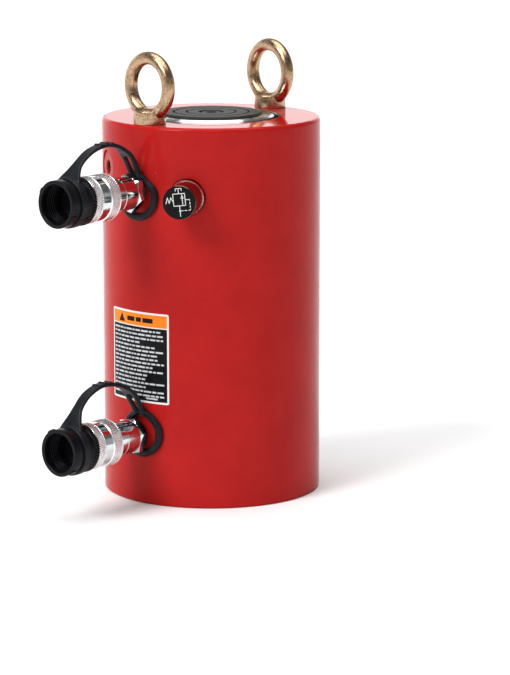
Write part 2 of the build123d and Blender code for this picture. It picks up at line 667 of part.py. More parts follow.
os.makedirs("parts", exist_ok=True)
for piece in CENTRE_PIECES:
    write(piece.__name__, piece())
for name, (azimuth, extra_turn) in EYE_TURNS.items():
    write(name, eyebolt(azimuth, extra_turn))
for side, height in COUPLER_Z.items():
    for piece in COUPLER_PIECES:
        write(f"{side}_{piece.__name__}", on_side(Rot(Z=HEX_TURNS[side]) * piece(), 0, height))
    strap = cap_strap(STRAP_ROUTES[side], LOOP_RADII[side], LOOP_CENTRES[side])
    write(f"{side}_cap_strap", on_side(strap, 0, height))
for piece in RELIEF_PIECES:
    write(piece.__name__, on_side(piece(), RELIEF_AZIMUTH, RELIEF_Z))
for name, (azimuth, width, low, high) in LABELS.items():
    write(name, label(azimuth, width, low, high))
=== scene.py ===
"""The looks of a double-acting hydraulic cylinder, built round its CAD frame. Metres, +Z up.

Side pieces are drawn in millimetres along their own +Z, where a height is the distance from the
cylinder's axis, their +Y is up and their +X is along the barrel's skin. on_side() places them.
"""

import json
import math
import random

import bpy
from mathutils import Matrix, Vector


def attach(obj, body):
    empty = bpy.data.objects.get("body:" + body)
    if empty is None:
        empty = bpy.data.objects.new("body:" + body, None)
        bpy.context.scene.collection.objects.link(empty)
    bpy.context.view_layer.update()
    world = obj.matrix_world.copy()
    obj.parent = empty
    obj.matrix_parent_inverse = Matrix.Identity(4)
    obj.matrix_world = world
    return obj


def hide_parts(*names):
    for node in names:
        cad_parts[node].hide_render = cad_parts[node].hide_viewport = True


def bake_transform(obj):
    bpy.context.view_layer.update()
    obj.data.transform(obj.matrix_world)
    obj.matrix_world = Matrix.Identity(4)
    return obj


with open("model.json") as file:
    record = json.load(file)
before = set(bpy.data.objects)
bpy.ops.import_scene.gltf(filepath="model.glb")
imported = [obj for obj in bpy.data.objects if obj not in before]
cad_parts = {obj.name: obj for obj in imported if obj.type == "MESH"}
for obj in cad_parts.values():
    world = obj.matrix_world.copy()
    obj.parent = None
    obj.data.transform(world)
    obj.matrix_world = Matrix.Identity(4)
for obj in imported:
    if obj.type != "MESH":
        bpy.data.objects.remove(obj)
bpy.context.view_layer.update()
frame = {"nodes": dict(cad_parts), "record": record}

MM = 0.001
ATOM = Matrix.Scale(MM, 4)

# sizes that the CAD holds, in millimetres
BARREL_R = 82.5
BARREL_H = 285.0
COUPLER_Z = {"upper": 235.7, "lower": 52.7}
RELIEF_AZIMUTH = 29.4
RELIEF_Z = 234.3
RELIEF_FACE = 110.0
EYE_PITCH_R = 68.0
# each eyebolt's azimuth on the top face and its ring's own turn, in degrees
EYE_TURNS = {"front_eyebolt": (0.0, -6.0), "rear_eyebolt": (180.0, -10.0)}
EYE_RING_R = 20.8
EYE_BAR_R = 5.0
EYE_CENTRE = 27.7
EYE_COLLAR_R = 12.0
EYE_COLLAR_H = 10.2
EYE_SHANK_R = 5.05
EYE_SHANK_L = 22.0
EYE_THREAD_DEPTH = 0.8
THREAD_PITCH = 1.75
SIDE_HOLE_AZIMUTHS = (-30.0, 150.0)
SIDE_HOLE_Z = 249.4


# ---------------------------------------------------------------- placing

def on_side(azimuth, height):
    """The matrix that turns a side piece to point away from the cylinder's axis."""
    turn = Matrix.Rotation(math.radians(azimuth), 4, "Z") @ Matrix.Rotation(math.radians(90), 4, "X")
    return Matrix.Translation((0, 0, height * MM)) @ turn @ ATOM


def at_eyebolt(azimuth, extra_turn):
    """The matrix of an eyebolt, whose own origin is at its seat."""
    spot = Matrix.Rotation(math.radians(azimuth), 4, "Z")
    spot = spot @ Matrix.Translation((0, -EYE_PITCH_R * MM, BARREL_H * MM))
    return spot @ Matrix.Rotation(math.radians(extra_turn), 4, "Z") @ ATOM


# ---------------------------------------------------------------- meshes

def make_piece(name, points, faces, place, body, slot, paint, nodes=(), crease=35):
    """A piece from points and faces in its own millimetres, put in place and riding on a body."""
    mesh = bpy.data.meshes.new(name)
    mesh.from_pydata([Vector(p) for p in points], [], faces)
    mesh.transform(place)
    mesh.validate()
    mesh.polygons.foreach_set("use_smooth", [True] * len(mesh.polygons))
    mesh.set_sharp_from_angle(angle=math.radians(crease))
    piece = bpy.data.objects.new(name, mesh)
    bpy.context.scene.collection.objects.link(piece)
    mesh.materials.append(paint)
    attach(piece, body)
    if nodes:
        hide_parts(*nodes)
    return piece


def softened(outline, radius, steps=3, closed=True):
    """The outline with each corner rounded by a short curve."""
    count = len(outline)
    result = []
    for i, corner in enumerate(outline):
        if not closed and i in (0, count - 1):
            result.append(corner)
            continue
        here = Vector(corner)
        before = Vector(outline[i - 1]) - here
        after = Vector(outline[(i + 1) % count]) - here
        cut = min(radius, before.length * 0.45, after.length * 0.45)
        start = here + before.normalized() * cut
        end = here + after.normalized() * cut
        for k in range(steps + 1):
            t = k / steps
            result.append(tuple(start * (1 - t) ** 2 + here * 2 * t * (1 - t) + end * t**2))
    return result


def turned(outline, segments=96, shape=None):
    """Points and faces of a closed (radius, height) outline turned about Z.

    shape(angle, radius, height) may give another radius, as for a knurl.
    """
    rows = len(outline)
    points = []
    for s in range(segments):
        angle = 2 * math.pi * s / segments
        for radius, height in outline:
            r = shape(angle, radius, height) if shape else radius
            points.append((r * math.cos(angle), r * math.sin(angle), height))
    faces = []
    for s in range(segments):
        a = s * rows
        b = (s + 1) % segments * rows
        for i in range(rows):
            j = (i + 1) % rows
            faces.append((a + i, b + i, b + j, a + j))
    return points, faces


def joined(*parts):
    """Several (points, faces) pairs as one."""
    points, faces = [], []
    for more_points, more_faces in parts:
        base = len(points)
        points += list(more_points)
        faces += [tuple(i + base for i in face) for face in more_faces]
    return points, faces


def tube(sections, closed=False):
    """Points and faces of a skin over sections with equal counts of points."""
    count = len(sections[0])
    points = [p for section in sections for p in section]
    faces = []
    spans = len(sections) if closed else len(sections) - 1
    for s in range(spans):
        a = s * count
        b = (s + 1) % len(sections) * count
        faces += [(a + i, a + (i + 1) % count, b + (i + 1) % count, b + i) for i in range(count)]
    if not closed:
        faces.append(tuple(reversed(range(count))))
        last = (len(sections) - 1) * count
        faces.append(tuple(range(last, last + count)))
    return points, faces


def rounded_bar(width, thick, steps=5):
    """The (across, up) points of a bar's section with half-round edges."""
    edge = thick / 2
    points = []
    for side in (1, -1):
        for k in range(steps + 1):
            angle = math.pi / 2 - math.pi * k / steps
            points.append((side * (width / 2 - edge + edge * math.cos(angle)), side * edge * math.sin(angle)))
    return points


def smooth_line(points, steps=12):
    """A Catmull-Rom curve through the points."""
    ends = [Vector(p) for p in points]
    ends = [2 * ends[0] - ends[1]] + ends + [2 * ends[-1] - ends[-2]]
    line = []
    for i in range(1, len(ends) - 2):
        a, b, c, d = ends[i - 1:i + 3]
        for k in range(steps):
            t = k / steps
            line.append(0.5 * (2 * b + (c - a) * t + (2 * a - 5 * b + 4 * c - d) * t**2
                               + (3 * b - a - 3 * c + d) * t**3))
    line.append(ends[-2])
    return line


def fused(piece, voxel, rounds):
    """Melts a piece's overlapping solids into one skin and smooths it."""
    bpy.context.view_layer.objects.active = piece
    remesh = piece.modifiers.new("melt", "REMESH")
    remesh.mode = "VOXEL"
    remesh.voxel_size = voxel * MM
    soften = piece.modifiers.new("soften", "SMOOTH")
    soften.factor = 0.5
    soften.iterations = rounds
    apply_modifiers(piece)
    piece.data.polygons.foreach_set("use_smooth", [True] * len(piece.data.polygons))


def apply_modifiers(piece):
    """Puts the shape that the modifiers give in place of the piece's mesh."""
    view = bpy.context.evaluated_depsgraph_get()
    mesh = bpy.data.meshes.new_from_object(piece.evaluated_get(view))
    old = piece.data
    piece.modifiers.clear()
    piece.data = mesh
    bpy.data.meshes.remove(old)


# ---------------------------------------------------------------- materials

class Finish:
    """A Principled material with helpers for its procedural parts."""

    def __init__(self, name, colour, roughness, metallic=0.0, **sockets):
        self.material = bpy.data.materials.new(name)
        self.material.use_nodes = True
        self.tree = self.material.node_tree
        self.shader = self.tree.nodes["Principled BSDF"]
        self.shader.inputs["Base Color"].default_value = (*colour, 1)
        self.shader.inputs["Roughness"].default_value = roughness
        self.shader.inputs["Metallic"].default_value = metallic
        for socket, value in sockets.items():
            self.shader.inputs[socket.replace("_", " ")].default_value = value
        self.coords = self.node("ShaderNodeTexCoord").outputs["Object"]
        self.normal = None

    def node(self, kind, **settings):
        made = self.tree.nodes.new(kind)
        for key, value in settings.items():
            setattr(made, key, value)
        return made

    def link(self, source, target):
        self.tree.links.new(source, target)

    def moved(self, place=(0, 0, 0), turn=(0, 0, 0), scale=(1, 1, 1)):
        """The object's coordinates, shifted, turned and stretched."""
        mapping = self.node("ShaderNodeMapping")
        mapping.inputs["Location"].default_value = place
        mapping.inputs["Rotation"].default_value = turn
        mapping.inputs["Scale"].default_value = scale
        self.link(self.coords, mapping.inputs["Vector"])
        return mapping.outputs["Vector"]

    def height(self):
        """The height of the point on the object, in metres."""
        split = self.node("ShaderNodeSeparateXYZ")
        self.link(self.coords, split.inputs["Vector"])
        return split.outputs["Z"]

    def noise(self, size_mm, detail=3.0, coords=None, roughness=0.5):
        """A cloud whose lumps are about this size."""
        made = self.node("ShaderNodeTexNoise")
        made.inputs["Scale"].default_value = 1000 / size_mm
        made.inputs["Detail"].default_value = detail
        made.inputs["Roughness"].default_value = roughness
        self.link(coords or self.coords, made.inputs["Vector"])
        return made.outputs["Fac"]

    def rings(self, pitch_mm, direction, coords=None, bands=False, distortion=0.0):
        """Fine turning lines: rings about an axis, or bands along it."""
        made = self.node("ShaderNodeTexWave", wave_type="BANDS" if bands else "RINGS")
        setattr(made, "bands_direction" if bands else "rings_direction", direction)
        made.inputs["Scale"].default_value = math.pi / 10 / (pitch_mm * MM)
        made.inputs["Distortion"].default_value = distortion
        made.inputs["Detail"].default_value = 2.0
        self.link(coords or self.coords, made.inputs["Vector"])
        return made.outputs["Fac"]

    def ramp(self, value, low, high, dark, light):
        """Maps a value between low and high to two levels or two colours."""
        made = self.node("ShaderNodeValToRGB")
        made.color_ramp.elements[0].position = low
        made.color_ramp.elements[1].position = high
        for element, level in zip(made.color_ramp.elements, (dark, light)):
            element.color = (*level, 1) if isinstance(level, tuple) else (level, level, level, 1)
        self.link(value, made.inputs["Fac"])
        return made.outputs["Color"]

    def mix(self, share, first, second):
        """Blends two colours, or a colour with an output, by a share."""
        made = self.node("ShaderNodeMix", data_type="RGBA")
        self.link(share, made.inputs["Factor"])
        for socket, value in ((made.inputs["A"], first), (made.inputs["B"], second)):
            if isinstance(value, tuple):
                socket.default_value = (*value, 1)
            else:
                self.link(value, socket)
        return made.outputs["Result"]

    def bump(self, height, depth_mm, strength=1.0):
        """Adds a relief of this depth on top of those already there."""
        made = self.node("ShaderNodeBump")
        made.inputs["Strength"].default_value = strength
        made.inputs["Distance"].default_value = depth_mm * MM
        self.link(height, made.inputs["Height"])
        if self.normal:
            self.link(self.normal, made.inputs["Normal"])
        self.normal = made.outputs["Normal"]
        self.link(self.normal, self.shader.inputs["Normal"])

    def colour(self, output):
        self.link(output, self.shader.inputs["Base Color"])

    def roughness(self, output):
        self.link(output, self.shader.inputs["Roughness"])


def red_enamel():
    """Gloss enamel: a slight orange peel and faint grain on the sides, and a smoother machined top."""
    f = Finish("red_enamel", (0.40, 0.010, 0.010), 0.2, Specular_IOR_Level=0.085)
    cloud = f.noise(40, 10, roughness=0.72)
    f.colour(f.ramp(cloud, 0.3, 0.7, (0.365, 0.009, 0.008), (0.445, 0.013, 0.012)))
    on_top = f.ramp(f.height(), (BARREL_H - 1.2) * MM, (BARREL_H - 0.4) * MM, 0.0, 1.0)
    sides = f.ramp(f.noise(25, 6, roughness=0.65), 0.35, 0.75, 0.16, 0.26)
    f.roughness(f.mix(on_top, sides, (0.06, 0.06, 0.06)))
    f.bump(f.noise(2.4, 2), 0.006, 0.5)
    return f.material


def chrome_rod():
    """Hard chrome with very fine grinding lines; the working length carries a thin, darker film of oil."""
    oiled, bare = (0.40, 0.41, 0.43), (0.80, 0.80, 0.82)
    f = Finish("chrome_rod", bare, 0.06, 1.0)
    f.colour(f.ramp(f.height(), (BARREL_H - 9) * MM, (BARREL_H - 4) * MM, oiled, bare))
    streaks = f.noise(0.9, 2, f.moved(scale=(0.02, 0.02, 1)))
    f.roughness(f.ramp(streaks, 0.3, 0.8, 0.10, 0.22))
    f.bump(streaks, 0.002, 0.4)
    return f.material


def black_oxide():
    """Blackened turned steel: concentric tool lines and lighter wear on the high spots."""
    f = Finish("black_oxide", (0.03, 0.03, 0.03), 0.5, 0.2, Specular_IOR_Level=0.10)
    lines = f.rings(0.55, "Z", distortion=0.4)
    wear = f.noise(7, 5, roughness=0.7)
    f.colour(f.ramp(wear, 0.35, 0.75, (0.018, 0.018, 0.017), (0.050, 0.048, 0.045)))
    f.roughness(f.ramp(wear, 0.3, 0.8, 0.44, 0.58))
    f.bump(lines, 0.02, 0.6)
    return f.material


def oiled_steel():
    """Dark, wet bare steel."""
    f = Finish("oiled_steel", (0.30, 0.29, 0.29), 0.22, 1.0)
    f.roughness(f.ramp(f.noise(3, 4), 0.3, 0.75, 0.16, 0.32))
    f.bump(f.noise(1.2, 3), 0.02, 0.4)
    return f.material


def yellow_zinc():
    """Yellow-passivated forging: bronze with faint pink and green clouds over a cast-like skin."""
    f = Finish("yellow_zinc", (0.52, 0.35, 0.21), 0.28, 1.0)
    warm = f.ramp(f.noise(12, 3), 0.38, 0.62, (0.47, 0.32, 0.18), (0.60, 0.40, 0.27))
    green = f.ramp(f.noise(6, 2, f.moved(place=(0.3, 0.1, 0))), 0.55, 0.75, 0.0, 0.5)
    # dark brown flecks: partly forging grime, partly painted shade standing in for the dark studio that the
    # bright metal reflects
    grime_and_dark_reflection = f.ramp(f.noise(1.6, 5, f.moved(place=(0, 0.2, 0.1)), roughness=0.75), 0.46, 0.64, 0.0, 0.85)
    f.colour(f.mix(grime_and_dark_reflection, f.mix(green, warm, (0.42, 0.37, 0.16)), (0.17, 0.10, 0.055)))
    f.roughness(f.ramp(f.noise(3, 4), 0.3, 0.75, 0.14, 0.30))
    f.bump(f.noise(0.8, 4, roughness=0.7), 0.16, 0.8)
    f.bump(f.noise(5, 2), 0.12, 0.4)
    return f.material


def bright_nickel(name, direction, height, knurl=False):
    """Bright nickel with fine tool lines square to the axis; the knurl is duller. The smooth nickel's darker
    base is painted shade, a shaded copy of the knurl's, and both carry a cool tint painted in to cancel the
    red barrel's reflection.
    """
    rough = (0.22, 0.36) if knurl else (0.04, 0.12)
    # a darker base for the smooth nickel: painted shade, a shaded copy of the knurl's finish
    base = 0.88 if knurl else 0.72
    f = Finish(name, (base, base, base), rough[0], 1.0)
    lines = f.rings(0.35, direction, f.moved(place=(0, 0, -height * MM)), bands=True, distortion=0.3)
    smear = f.noise(6, 4)
    # cool tint painted in to cancel the red barrel's reflection in the nickel
    dark, light = (0.88 * base, 0.93 * base, 0.94 * base), (1.02 * base, 1.07 * base, 1.09 * base)
    f.colour(f.ramp(smear, 0.3, 0.7, dark, light))
    f.roughness(f.ramp(smear, 0.3, 0.8, *rough))
    f.bump(lines, 0.004, 0.5)
    return f.material


def plated_valve():
    """Polished plate on the relief valve, with faint turning lines; its dark base colour is painted shade,
    standing for the shadowed barrel that the valve reflects.
    """
    f = Finish("plated_valve", (0.20, 0.16, 0.15), 0.10, 1.0)
    radial = f.moved(turn=(0, 0, math.radians(-RELIEF_AZIMUTH)))
    f.roughness(f.ramp(f.noise(4, 4), 0.3, 0.8, 0.05, 0.13))
    f.bump(f.rings(0.3, "Y", radial, bands=True), 0.002, 0.4)
    return f.material


def edge_highlight():
    """A lit copy of the valve's plate for the flange's edge: satin, and far brighter than the valve's
    darkened plate, as a painted highlight.
    """
    f = Finish("edge_highlight", (0.90, 0.86, 0.80), 0.28, 1.0)
    f.roughness(f.ramp(f.noise(3, 4), 0.3, 0.8, 0.22, 0.36))
    f.bump(f.noise(0.8, 3), 0.01, 0.4)
    return f.material


def black_nylon():
    """Moulded nylon: nearly black, satin, with a faint flow texture."""
    f = Finish("black_nylon", (0.004, 0.004, 0.005), 0.30, Specular_IOR_Level=0.12)
    f.colour(f.ramp(f.noise(12, 3), 0.3, 0.7, (0.003, 0.003, 0.004), (0.006, 0.006, 0.008)))
    f.roughness(f.ramp(f.noise(4, 5, roughness=0.7), 0.3, 0.75, 0.24, 0.40))
    f.bump(f.noise(0.7, 3), 0.03, 0.4)
    return f.material


def strap_rubber():
    """Moulded rubber with a dusty satin bloom."""
    f = Finish("strap_rubber", (0.006, 0.007, 0.009), 0.42, Specular_IOR_Level=0.16)
    f.colour(f.ramp(f.noise(8, 5, roughness=0.7), 0.35, 0.75, (0.004, 0.005, 0.007), (0.013, 0.015, 0.020)))
    f.roughness(f.ramp(f.noise(3, 4), 0.3, 0.75, 0.32, 0.50))
    f.bump(f.noise(0.9, 4), 0.05, 0.5)
    return f.material


def seal_compound(name, colour, roughness):
    """A seal or bearing material with a faint cloud and moulding grain."""
    f = Finish(name, colour, roughness)
    light = tuple(min(1.0, 1.25 * c + 0.01) for c in colour)
    f.colour(f.ramp(f.noise(8, 4), 0.3, 0.7, colour, light))
    f.bump(f.noise(0.8, 3), 0.02, 0.4)
    return f.material


def machined_steel():
    """Turned steel with visible tool lines."""
    f = Finish("machined_steel", (0.52, 0.52, 0.53), 0.28, 1.0)
    f.roughness(f.ramp(f.noise(10, 4), 0.3, 0.7, 0.22, 0.36))
    f.bump(f.rings(0.5, "Z", distortion=0.2), 0.01, 0.5)
    return f.material


def spring_wire():
    """Bright drawn wire."""
    f = Finish("spring_wire", (0.42, 0.42, 0.44), 0.25, 1.0)
    f.roughness(f.ramp(f.noise(2, 3), 0.3, 0.7, 0.2, 0.35))
    return f.material


def printed_film(name, colour, light, roughness=0.3):
    """Printed film with a clear gloss top and faint mottling of the ink."""
    f = Finish(name, colour, roughness, Specular_IOR_Level=0.08)
    f.colour(f.ramp(f.noise(5, 5, roughness=0.7), 0.3, 0.75, colour, light))
    f.roughness(f.ramp(f.noise(9, 4), 0.3, 0.7, roughness - 0.05, roughness + 0.08))
    return f.material


RED = red_enamel()
OXIDE = black_oxide()
OILED = oiled_steel()
ZINC = yellow_zinc()
NICKEL = {side: bright_nickel(f"nickel_{side}", "Y", z) for side, z in COUPLER_Z.items()}
KNURL = {side: bright_nickel(f"knurl_{side}", "Y", z, knurl=True) for side, z in COUPLER_Z.items()}
SHADED_PLATE = plated_valve()
EDGE_HIGHLIGHT = edge_highlight()
NYLON = black_nylon()
STRAP = strap_rubber()
STEEL = machined_steel()
WIRE = spring_wire()
FILM_WHITE = printed_film("film_white", (0.72, 0.72, 0.70), (0.80, 0.80, 0.78))
FILM_ORANGE = printed_film("film_orange", (0.86, 0.20, 0.012), (0.92, 0.24, 0.02))
FILM_BLACK = printed_film("film_black", (0.004, 0.004, 0.005), (0.008, 0.008, 0.009), 0.26)
INK_GREY = printed_film("ink_grey", (0.46, 0.48, 0.50), (0.62, 0.64, 0.66))

SLOT_FINISHES = {
    "red_paint": RED,
    "machined_steel": STEEL,
    "black_steel": OXIDE,
    "chrome_rod": chrome_rod(),
    "seal_rubber": seal_compound("seal_rubber", (0.02, 0.02, 0.02), 0.5),
    "seal_plastic": seal_compound("seal_plastic", (0.02, 0.05, 0.16), 0.35),
    "bearing_plastic": seal_compound("bearing_plastic", (0.55, 0.48, 0.33), 0.45),
    "yellow_zinc": ZINC,
    "plated_valve": SHADED_PLATE,
    "black_disc": FILM_BLACK,
    "spring_steel": WIRE,
    "black_plastic": NYLON,
    "strap_rubber": STRAP,
    "warning_print": FILM_WHITE,
    "front_print": FILM_BLACK,
}


def dress_cad_nodes():
    """Gives each CAD node the finish of its slot; the couplers' nickel follows their height."""
    for entry in frame["record"]["subparts"]:
        node = frame["nodes"][entry["node"]]
        side = entry["node"].split("_")[0]
        slot = entry["material_slot"]
        finish = NICKEL[side] if slot == "nickel" else SLOT_FINISHES[slot]
        node.data.materials.clear()
        node.data.materials.append(finish)
        node.data.polygons.foreach_set("material_index", [0] * len(node.data.polygons))


# ---------------------------------------------------------------- couplers

# heights run outwards from the cylinder's axis, and pairs are a start and an end
COLLAR = (116.5, 143.2)
COLLAR_R = 17.5
COLLAR_BORE_R = 14.0
COLLAR_LIP = 121.2
COLLAR_NECK_R = 12.68
COLLAR_WAIST_R = 16.7
SLEEVE_INNER_R = 16.0
SLEEVE_PROUD = 0.06
GRIP_BANDS = ((117.7, 126.3), (135.7, 142.6))
KNURL_ROWS = 26
KNURL_COUNT = 64
KNURL_DEPTH = 0.6
KNURL_SLOPE = 0.62

CAP = (143.5, 167.98)
CAP_R = 17.5
CAP_FLANGE_R = 18.0
CAP_PLUG = 133.8
CAP_PLUG_R = 13.6
CAP_PLUG_HOLLOW_R = 11.0
CAP_PLUG_FLOOR = 137.0
CAP_TEETH = 44
CAP_GROOVE = (151.6, 158.4)
CAP_GROOVE_R = 15.2
CAP_RIM_START = 160.6
CAP_CUP_R = 14.6
CAP_FLOOR = 149.0
CAP_STEPS = 4
CAP_STEP_TOP = 161.5
CAP_STEP_DROP = 1.5
CAP_STEP_IN = 0.6
CAP_RIBS = 18
CAP_RIB_TOP = 156.0
CAP_PIPS = (161.2, 164.6)
# degrees about the cap's axis, from +X towards up
CAP_LUG_ANGLES = {"upper": (149, -31), "lower": (123, -48)}
CAP_MARK_ANGLES = {"upper": -19, "lower": 43}


def knurled(angle, radius, height):
    """A diamond knurl cut into the two grip bands."""
    inside = any(low < height < high for low, high in GRIP_BANDS)
    if not inside or radius < COLLAR_R - 0.2:
        return radius
    lead = KNURL_SLOPE * height * KNURL_COUNT / COLLAR_R
    ridges = sum(abs(math.sin((KNURL_COUNT * angle + turn) / 2)) for turn in (lead, -lead))
    return radius - KNURL_DEPTH * (1 - ridges / 2)


def coupler_collar(side):
    """The turning collar with its two knurled bands and the polished waist between them."""
    (a, b), (c, d) = GRIP_BANDS
    start, end = COLLAR
    rear = [(COLLAR_R, a + (b - a) * k / KNURL_ROWS) for k in range(KNURL_ROWS + 1)]
    waist = [(COLLAR_R - 0.1, b + 0.25), (COLLAR_WAIST_R, b + 0.7), (COLLAR_WAIST_R, b + 1.2),
             (COLLAR_WAIST_R, c - 1.2), (COLLAR_WAIST_R, c - 0.7), (COLLAR_R - 0.1, c - 0.25)]
    front = [(COLLAR_R, c + (d - c) * k / KNURL_ROWS) for k in range(KNURL_ROWS + 1)]
    inner = softened(
        [(COLLAR_R - 0.9, end), (COLLAR_BORE_R + 0.8, end), (COLLAR_BORE_R, end - 0.8),
         (COLLAR_BORE_R, COLLAR_LIP), (COLLAR_NECK_R, COLLAR_LIP), (COLLAR_NECK_R, start),
         (COLLAR_R - 1.4, start), (COLLAR_R - 0.2, start + 1.1)], 0.25, closed=False)
    points, faces = turned(rear + waist + front + inner, 4 * KNURL_COUNT, knurled)
    sleeve_r = COLLAR_WAIST_R + SLEEVE_PROUD
    sleeve = [(SLEEVE_INNER_R, b + 0.3), (sleeve_r, b + 0.75), (sleeve_r, c - 0.75),
              (SLEEVE_INNER_R, c - 0.3)]
    place = on_side(0, COUPLER_Z[side])
    make_piece(f"{side}_collar_waist", *turned(sleeve, 128), place,
               f"{side}_collar", "nickel", NICKEL[side])
    make_piece(f"{side}_collar_knurled", points, faces, place,
               f"{side}_collar", "nickel", KNURL[side], [f"{side}_coupler_collar"], 25)


def serrated(angle, radius, height):
    """Grip teeth round the cap's rear flange."""
    start = CAP[0]
    if not start + 0.3 < height < start + 3.4 or radius < CAP_R - 0.3:
        return radius
    return radius - 0.55 * (0.5 + 0.5 * math.cos(CAP_TEETH * angle)) ** 2


def cap_lug(degrees, low, high, inner, outer, half_width):
    """A small block on a round wall, about the cap's axis."""
    angle = math.radians(degrees)
    c, s = math.cos(angle), math.sin(angle)
    corners = []
    for z in (low, high):
        for r, w in ((inner, -half_width), (outer, -half_width * 0.8), (outer, half_width * 0.8),
                     (inner, half_width)):
            corners.append((r * c - w * s, r * s + w * c, z))
    faces = [(0, 1, 2, 3), (7, 6, 5, 4), (0, 4, 5, 1), (1, 5, 6, 2), (2, 6, 7, 3), (3, 7, 4, 0)]
    return corners, faces


def dust_cap(side):
    """The nylon cap: plug, toothed flange, strap groove and the open, stepped front cup with its ribs."""
    start, end = CAP
    low, high = CAP_GROOVE
    cup = [(CAP_CUP_R + 0.5, end), (CAP_CUP_R, end - 0.6)]
    wall = CAP_CUP_R
    for step in range(CAP_STEPS):
        height = CAP_STEP_TOP - CAP_STEP_DROP * step
        radius = CAP_CUP_R - CAP_STEP_IN * (step + 1)
        cup += [(wall, height), (radius, height)]
        wall = radius
    outline = [
        (0.05, CAP_PLUG_FLOOR), (CAP_PLUG_HOLLOW_R, CAP_PLUG_FLOOR), (CAP_PLUG_HOLLOW_R, CAP_PLUG),
        (CAP_PLUG_R - 0.6, CAP_PLUG), (CAP_PLUG_R, CAP_PLUG + 0.6), (CAP_PLUG_R, start),
        (CAP_FLANGE_R, start), (CAP_FLANGE_R, start + 1.2), (CAP_FLANGE_R, start + 2.2),
        (CAP_FLANGE_R, start + 3.2), (CAP_R - 0.6, start + 3.8), (CAP_R - 0.6, low), (CAP_GROOVE_R, low),
        (CAP_GROOVE_R, high), (CAP_R - 0.4, high), (CAP_R - 0.4, CAP_RIM_START - 0.6),
        (CAP_R, CAP_RIM_START), (CAP_R, end),
        *cup, (wall, CAP_FLOOR), (5.0, CAP_FLOOR), (4.0, CAP_FLOOR + 1.5), (0.05, CAP_FLOOR + 1.5),
    ]
    shell = turned(softened(outline, 0.3), 6 * CAP_TEETH, serrated)
    pitch = 360 / CAP_RIBS
    ribs = [cap_lug(pitch * (k + 0.5), CAP_FLOOR - 0.3, CAP_RIB_TOP, wall - 0.6, wall + 0.3, 0.5)
            for k in range(CAP_RIBS)]
    lugs = [cap_lug(angle, end - 5, end - 0.4, CAP_R - 0.6, CAP_R + 0.8, 2.4)
            for angle in CAP_LUG_ANGLES[side]]
    mark = CAP_MARK_ANGLES[side]
    foot, head = CAP_PIPS
    pips = [cap_lug(mark + 8 * k, foot + 0.6 * abs(k), head, CAP_R - 0.4, CAP_R + 0.35, 0.55)
            for k in (-1, 0, 1)]
    points, faces = joined(shell, *ribs, *lugs, *pips)
    make_piece(f"{side}_cap_moulded", points, faces, on_side(0, COUPLER_Z[side]),
               f"{side}_cap", "black_plastic", NYLON, [f"{side}_dust_cap"], 32)


# ---------------------------------------------------------------- cap straps

# each band's middle line as (height above the coupler, distance from the cylinder's axis)
STRAP_ROUTES = {
    "upper": ((17.4, 154.6), (21.0, 150.0), (27.6, 143.4), (34.4, 133.0), (38.0, 119.5), (37.2, 108.0),
              (33.8, 100.0), (28.4, 93.8), (21.8, 89.2), (14.8, 85.2)),
    "lower": ((17.4, 155.0), (22.6, 151.6), (31.0, 146.4), (38.8, 137.6), (43.4, 124.0), (42.4, 110.5),
              (39.4, 101.0), (34.4, 94.0), (27.0, 89.0), (19.0, 86.0)),
}
SLOT_TOPS = {"upper": 28.5, "lower": 33.5}
STRAP_W = 9.0
STRAP_T = 2.9
STRAP_FOOT_W = 24.0
STRAP_FOOT_SHARE = 0.24
STRAND_W = 4.9
SLOT_W = 3.4
STRAND_X = (SLOT_W + STRAND_W) / 2
FORK_Y = 22.0
# the strands' way from the slot into the loop, as (angle round the loop's centre, extra radius, lift)
FORK_STEPS = ((12.0, 1.0, 2.0), (26.0, 0.2, 1.1), (42.0, 0.0, 0.4), (58.0, 0.0, 0.0))
LOOP_BAR = (5.5, 3.9)
LOOP_RADII = {"upper": 16.1, "lower": 15.9}
LOOP_CENTRES = {"upper": (1.5, -2.5), "lower": (4.5, 2.1)}
LOOP_LIFT = 2.1
# how far the loop is drawn in beside its top, at what turn and over how many degrees
LOOP_PINCH = {"upper": 2.1, "lower": 0.6}
PINCH_AT = 40.0
PINCH_SPAN = 40.0
LEAN_SHARE = 0.5
# the strap's ring in the cap's groove
HOLD_Z = 155.2
HOLD_HALF = 3.1
HOLD_INNER_R = 15.3
HOLD_OUTER_R = 18.55
RIB_OFFSETS = (-4, 0, 4)


def eased(t):
    """A smooth step from 0 to 1."""
    t = min(1.0, max(0.0, t))
    return t * t * (3 - 2 * t)


def strap_width(share, slot_share):
    """The band is wide at the cap, narrow over the arch and wider again at its slot."""
    foot = STRAP_FOOT_W - (STRAP_FOOT_W - STRAP_W) * eased(share / STRAP_FOOT_SHARE) ** 0.7
    return foot + (2 * STRAND_W + SLOT_W - STRAP_W) * eased((share - slot_share + 0.12) / 0.12)


def turned_up(line, i):
    """The direction along the band at a point, and the one square to it on the arch's outer side."""
    along = (line[min(len(line) - 1, i + 1)] - line[max(0, i - 1)]).normalized()
    up = Vector((-along[1], along[0]))
    return along, -up if up[0] < 0 else up


def band_section(line, i, width, hug):
    """The section at one point of the band's line, bent round the cap by hug."""
    up = turned_up(line, i)[1]
    bend = STRAP_FOOT_W * 0.8
    section = []
    for x, lift in rounded_bar(width, STRAP_T):
        drop = hug * (bend - math.sqrt(max(0.0, bend**2 - x * x)))
        y, z = line[i] + up * lift
        section.append((x, y - drop, z))
    return section


